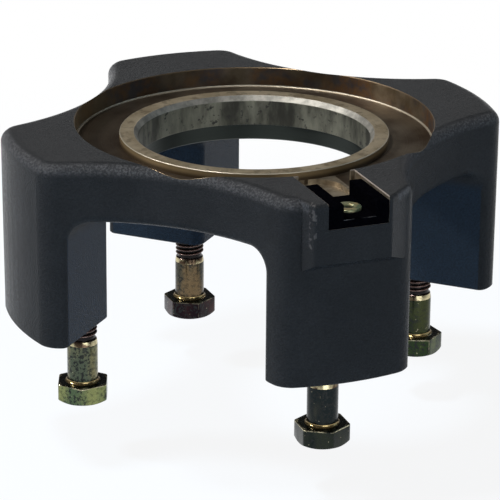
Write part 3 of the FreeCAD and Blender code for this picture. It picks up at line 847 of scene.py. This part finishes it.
def thread_radius(angle, height, start, end):
    """Radius of a right-hand thread: the crest recedes with height less the turn's share of a pitch.

    The distance from the crest, in pitches, is flat, then a straight flank, then flat. The
    groove fades in over half a pitch and is cut by a cone at the end.
    """
    phase = (height - start) / THREAD_PITCH - angle / FULL_TURN
    from_crest = np.abs((phase + 0.5) % 1.0 - 0.5)
    flank = 1 / 2 - THREAD_CREST_SHARE - THREAD_ROOT_SHARE
    depth = np.clip((from_crest - THREAD_CREST_SHARE) / flank, 0, 1)
    root = THREAD_RADIUS - THREAD_DEPTH
    formed = np.clip((height - start) / (THREAD_PITCH / 2), 0, 1)
    radius = root + (THREAD_DEPTH - depth * THREAD_DEPTH) * formed
    cone = root - BOLT_TIP_CHAMFER / 2 + (end - height)
    return np.minimum(radius, np.maximum(cone, 0))


def foot_bolt(side, finish):
    """A hexagon bolt, head down, as one closed surface.

    A row is a (radius, height) step of its outline and a column a direction round it. The
    head's radius is a hexagon's, its free face is cut by a 30 degree cone, and the thread's
    radius is a helix.
    """
    node = "foot_bolt_" + side
    low, high, centre, angle = round_axis(node, BOLT_COLUMNS)
    hexagon = hexagon_radius(angle - math.radians(HEAD_TURNS[side]), HEAD_FLATS, HEAD_SHARPNESS)
    past_turned = hexagon - HEAD_TURNED
    chamfer = np.maximum(past_turned, 0) * HEAD_CHAMFER_SLOPE
    seat = low.z + HEAD_HEIGHT
    neck = seat + BOLT_PLAIN
    root = THREAD_RADIUS - THREAD_DEPTH
    fillet_edge = BOLT_RADIUS + HEAD_FILLET

    # Head: free face, its chamfer, the flats, a rounded edge and the face under the shank
    rows = [(HEAD_TURNED * share, low.z) for share in HEAD_FACE_SHARES]
    rows += [
        (np.minimum(HEAD_TURNED + share * past_turned, hexagon), low.z + share * chamfer)
        for share in HEAD_CHAMFER_SHARES
    ]
    rows += [(hexagon, low.z + chamfer + HEAD_EDGE), (hexagon, seat - 2 * HEAD_EDGE)]
    rows += [
        (hexagon - HEAD_EDGE * (1 - cosine), seat - HEAD_EDGE * (1 - sine))
        for sine, cosine in quarter_turn()
    ]
    rows += [(hexagon - 2 * HEAD_EDGE, seat), (fillet_edge + HEAD_EDGE, seat)]

    # Shank: fillet, plain length, bevel and neck
    rows += [
        (BOLT_RADIUS + HEAD_FILLET * (1 - sine), seat + HEAD_FILLET * (1 - cosine))
        for sine, cosine in quarter_turn()
    ]
    bevel_top = BOLT_RADIUS - BOLT_BEVEL_STEP
    rows += [
        (BOLT_RADIUS, seat + HEAD_FILLET + HEAD_EDGE),
        (BOLT_RADIUS, neck - BOLT_BEVEL - ZONE_STEP),
        (BOLT_RADIUS - ZONE_STEP / 2, neck - BOLT_BEVEL + ZONE_STEP),
        (bevel_top, neck - ZONE_STEP),
        (bevel_top - ZONE_STEP, neck + ZONE_STEP),
        (root + ZONE_STEP, neck + HEAD_EDGE),
        (root, neck + 2 * HEAD_EDGE),
    ]

    # Thread
    thread_low = neck + BOLT_NECK
    count = int(round((high.z - thread_low) / THREAD_PITCH * ROWS_A_PITCH))
    heights = np.linspace(thread_low, high.z, count)
    rows += [(thread_radius(angle, height, thread_low, high.z), height) for height in heights]
    rows += [((root - BOLT_TIP_CHAMFER / 2) / 2, high.z)]

    radius, height = stack_rows(rows, BOLT_COLUMNS)
    points, faces = with_poles(radius, height, angle, centre)
    made = piece("plated_bolt_" + side, points, faces, "bolt_" + side, finish)
    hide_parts(node)


def insert_coil(side, finish):
    """The wire thread insert of a leg, a coil of wire that tapers away at both ends.

    A column goes round the wire's section, an oval of a few flats, and a row along the helix:
    the section's centre circles the bolt's axis and climbs a pitch in each turn.
    """
    node = "leg_thread_insert_" + side
    low, high, centre, section = round_axis(node, COIL_SECTION)
    deep = (COIL_OUTER - COIL_INNER) / 2
    climb = high.z - low.z - 2 * COIL_TALL
    count = int(climb / THREAD_PITCH * COIL_STEPS)
    share = np.linspace(0, 1, count)[:, None]
    turn = share * climb / THREAD_PITCH * FULL_TURN
    ends = np.minimum(1, np.minimum(share, 1 - share) * count / COIL_TIP_STEPS + COIL_TIP_SHARE)
    radius = (COIL_INNER + COIL_OUTER) / 2 + deep * np.cos(section) * ends
    x = radius * np.cos(turn) + centre[0]
    y = radius * np.sin(turn) + centre[1]
    z = low.z + COIL_TALL + share * climb + COIL_TALL * np.sin(section) * ends
    points = np.stack([x, y, z], axis=-1).reshape(-1, 3)
    index = np.arange(len(points))
    faces = lattice(count, COIL_SECTION)[:, ::-1].tolist()
    faces += [index[:COIL_SECTION].tolist(), index[-COIL_SECTION:][::-1].tolist()]
    made = piece("wire_insert_" + side, points, faces, "adapter", finish)
    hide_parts(node)


def key_screw(finish):
    """A low socket head screw as one closed surface from the shank's end round to the socket's floor.

    Rows are (radius, height) steps; in the socket the radius is a hexagon's.
    """
    low, high, centre, angle = round_axis("key_block_screw", SCREW_COLUMNS)
    seat = high.z - SCREW_HEAD_HEIGHT
    socket = hexagon_radius(angle, SOCKET_FLATS, SOCKET_SHARPNESS)
    lip, lead, wall = (high.z - depth for depth in SOCKET_LEAD)
    bottom = high.z - SOCKET_DEPTH
    rows = [
        (SCREW_SHANK - SCREW_EDGE, low.z),
        (SCREW_SHANK, low.z + SCREW_EDGE),
        (SCREW_SHANK, seat),
        (SCREW_HEAD_RADIUS - SCREW_BREAK, seat),
        (SCREW_HEAD_RADIUS, seat + SCREW_BREAK),
    ]
    rows += [
        (SCREW_HEAD_RADIUS - SCREW_EDGE * (1 - cosine), high.z - SCREW_EDGE * (1 - sine))
        for sine, cosine in quarter_turn()
    ]
    rows += [
        (SOCKET_RIM + SCREW_BREAK, high.z),
        (SOCKET_RIM, lip),
        (np.minimum(socket, SOCKET_RIM), lead),
        (socket, wall),
        (socket, bottom),
        (socket * SOCKET_FLOOR_SHARE, bottom),
    ]
    radius, height = stack_rows(rows, SCREW_COLUMNS)
    points, faces = with_poles(radius, height, angle, centre)
    made = piece("key_screw_plated", points, faces, "adapter", finish)
    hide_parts("key_block_screw")


def rounded_outline(corners, radius):
    """A closed outline of (radius, height) corners with each corner rounded off.

    Each corner is cut back by the radius along both its sides, a quadratic curve drawn toward
    the corner joins the two cuts, and a further point on each side keeps the flats flat.
    """
    corners = np.array(corners)
    back = corners - np.roll(corners, 1, axis=0)
    ahead = np.roll(corners, -1, axis=0) - corners
    back /= np.linalg.norm(back, axis=1)[:, None]
    ahead /= np.linalg.norm(ahead, axis=1)[:, None]
    share = np.linspace(0, 1, ROUND_STEPS)[None, :, None]
    start = (corners - back * radius)[:, None]
    end = (corners + ahead * radius)[:, None]
    middle = corners[:, None]
    curve = start * (1 - share) ** 2 + 2 * middle * share * (1 - share) + end * share**2
    hold = radius * ROUND_HOLD_SHARE
    curve = np.concatenate([start - back[:, None] * hold, curve, end + ahead[:, None] * hold], axis=1)
    return curve.reshape(-1, 2)


def seat_ring(finish):
    """The seat ring: a softened outline of (radius, height) points carried round the axis."""
    low, high, _, angle = round_axis("seat_ring", RING_COLUMNS)
    bore = frame["record"]["mounts"][0]["dims"]["r_mm"] * MM
    corners = [
        (bore, low.z),
        (high.x, low.z),
        (high.x, high.z),
        (bore + RING_BEVEL_WIDTH, high.z),
        (bore, high.z - RING_BEVEL_DEPTH),
    ]
    outline = rounded_outline(corners, RING_EDGE)
    radius, height = outline[:, :1], np.repeat(outline[:, 1:], RING_COLUMNS, axis=1)
    points = np.stack([radius * np.cos(angle), radius * np.sin(angle), height], axis=-1).reshape(-1, 3)
    faces = lattice(len(outline), RING_COLUMNS, closed_rows=True).tolist()
    made = piece("seat_ring_turned", points, faces, "adapter", finish)
    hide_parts("seat_ring")


def dress(node, finish):
    """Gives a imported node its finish."""
    shown = frame["nodes"][node]
    shown.data.materials.clear()
    shown.data.materials.append(finish)


def facing(azimuth, elevation):
    """The direction from the object to a viewer, by the angles that the views count in."""
    return Vector(
        (
            math.sin(azimuth) * math.cos(elevation),
            -math.cos(azimuth) * math.cos(elevation),
            math.sin(elevation),
        )
    )


def aim_camera():
    """The photograph's viewpoint: a long lens, turned a little about its own axis."""
    right = Vector((math.cos(VIEW_AZIMUTH), math.sin(VIEW_AZIMUTH), 0))
    back = facing(VIEW_AZIMUTH, VIEW_ELEVATION)
    up = back.cross(right)
    target = right * VIEW_TARGET_RIGHT + Vector((0, 0, VIEW_TARGET_HEIGHT))
    rolled_right = right * math.cos(VIEW_ROLL) + up * math.sin(VIEW_ROLL)
    rolled_up = up * math.cos(VIEW_ROLL) - right * math.sin(VIEW_ROLL)
    camera = bpy.data.cameras.new("viewpoint")
    camera.lens = VIEW_LENS
    camera.sensor_width = VIEW_SENSOR
    holder = bpy.data.objects.new("viewpoint", camera)
    bpy.context.scene.collection.objects.link(holder)
    place = Matrix((rolled_right, rolled_up, back)).transposed().to_4x4()
    place.translation = target + back * VIEW_DISTANCE
    holder.matrix_world = place
    bpy.context.scene.camera = holder


def softbox(name, azimuth, elevation, distance, size, power, tint=(1, 1, 1)):
    """A square lamp that looks at the object from a direction in degrees, hidden from the camera."""
    lamp = bpy.data.lights.new(name, "AREA")
    lamp.size = size
    lamp.energy = power
    lamp.color = tint
    holder = bpy.data.objects.new(name, lamp)
    holder.visible_camera = False
    bpy.context.scene.collection.objects.link(holder)
    back = facing(math.radians(azimuth), math.radians(elevation))
    centre = (CAD_BOX[0] + CAD_BOX[1]) / 2
    holder.location = centre + back * distance
    holder.rotation_mode = "QUATERNION"
    holder.rotation_quaternion = back.to_track_quat("Z", "Y")


def surround():
    """A white surround, which metal and paint show dim overhead, and a fainter, cooler source of light."""
    world = bpy.data.worlds.new("surround")
    world.use_nodes = True
    bpy.context.scene.world = world
    sky = Nodes(world.node_tree)
    sky.tree.nodes.clear()
    direction = sky.node("ShaderNodeTexCoord").outputs["Generated"]
    height = sky.node("ShaderNodeSeparateXYZ", {0: direction}).outputs[2]
    dimmed = sky.ease(height, *SKY_SPAN, *SKY_SHOWN)
    direct = sky.node("ShaderNodeLightPath").outputs["Is Camera Ray"]
    white = sky.sum("MAXIMUM", dimmed, direct)
    shown = sky.node("ShaderNodeBackground", {"Color": white, "Strength": 1.0}).outputs[0]
    light = sky.mix(dimmed, (0, 0, 0), AMBIENT_LIGHT)
    ambient = sky.node("ShaderNodeBackground", {"Color": light, "Strength": AMBIENT_STRENGTH}).outputs[0]
    mixed = sky.node("ShaderNodeMixShader", {0: sky.seen(), 1: ambient, 2: shown}).outputs[0]
    sky.node("ShaderNodeOutputWorld", {0: mixed})


def floor():
    """A pale floor under the lowest place of the bolts, with a light shadow, clear from below."""
    ground = CAD_BOX[0].z - BOLT_TRAVEL - FLOOR_ROOM
    signs = ((-1, -1), (1, -1), (1, 1), (-1, 1))
    mesh = bpy.data.meshes.new("floor")
    mesh.from_pydata([(x * FLOOR_HALF, y * FLOOR_HALF, ground) for x, y in signs], [], [(0, 1, 2, 3)])
    made = bpy.data.objects.new("floor", mesh)
    bpy.context.scene.collection.objects.link(made)
    pale = Finish("floor_pale")
    x, y, _ = pale.point()
    glowing = pale.both(pale.seen(), pale.ease(pale.distance(x, y), *FLOOR_GLOW_SPAN, *FLOOR_GLOW))
    matt = pale.node("ShaderNodeBsdfDiffuse", {"Color": colour(FLOOR_TONE)}).outputs[0]
    glow = pale.node("ShaderNodeEmission", {"Color": colour((1, 1, 1))}).outputs[0]
    mixed = pale.node("ShaderNodeMixShader", {0: glowing, 1: matt, 2: glow}).outputs[0]
    clear = pale.node("ShaderNodeBsdfTransparent").outputs[0]
    behind = pale.node("ShaderNodeNewGeometry").outputs["Backfacing"]
    one_sided = pale.node("ShaderNodeMixShader", {0: behind, 1: mixed, 2: clear}).outputs[0]
    pale.feed(pale.tree.nodes["Material Output"].inputs["Surface"], one_sided)
    mesh.materials.append(pale.material)


def studio():
    """Soft lamps, a pale floor and a white surround."""
    softbox("ceiling_softbox", azimuth=280, elevation=65, distance=1.3, size=0.2, power=12.0)
    softbox("back_left_softbox", azimuth=245, elevation=38, distance=1.5, size=0.2, power=15.0)
    softbox("front_softbox", azimuth=0, elevation=14, distance=1.8, size=1.2, power=13.0, tint=FRONT_TINT)
    softbox("right_softbox", azimuth=80, elevation=20, distance=1.8, size=1.0, power=2.6, tint=RIGHT_TINT)
    softbox("back_softbox", azimuth=140, elevation=30, distance=1.8, size=0.25, power=0.6)
    surround()
    floor()


wire = wire_finish()
dress("body_casting", casting_finish())
dress("key_block", key_finish())
dress("key_screw_insert", wire)
seat_ring(ring_finish())
key_screw(screw_finish())
for side in SIDES:
    foot_bolt(side, plated_finish(side))
    insert_coil(side, wire)
aim_camera()
studio()

bpy.context.scene.view_settings.view_transform = "Standard"
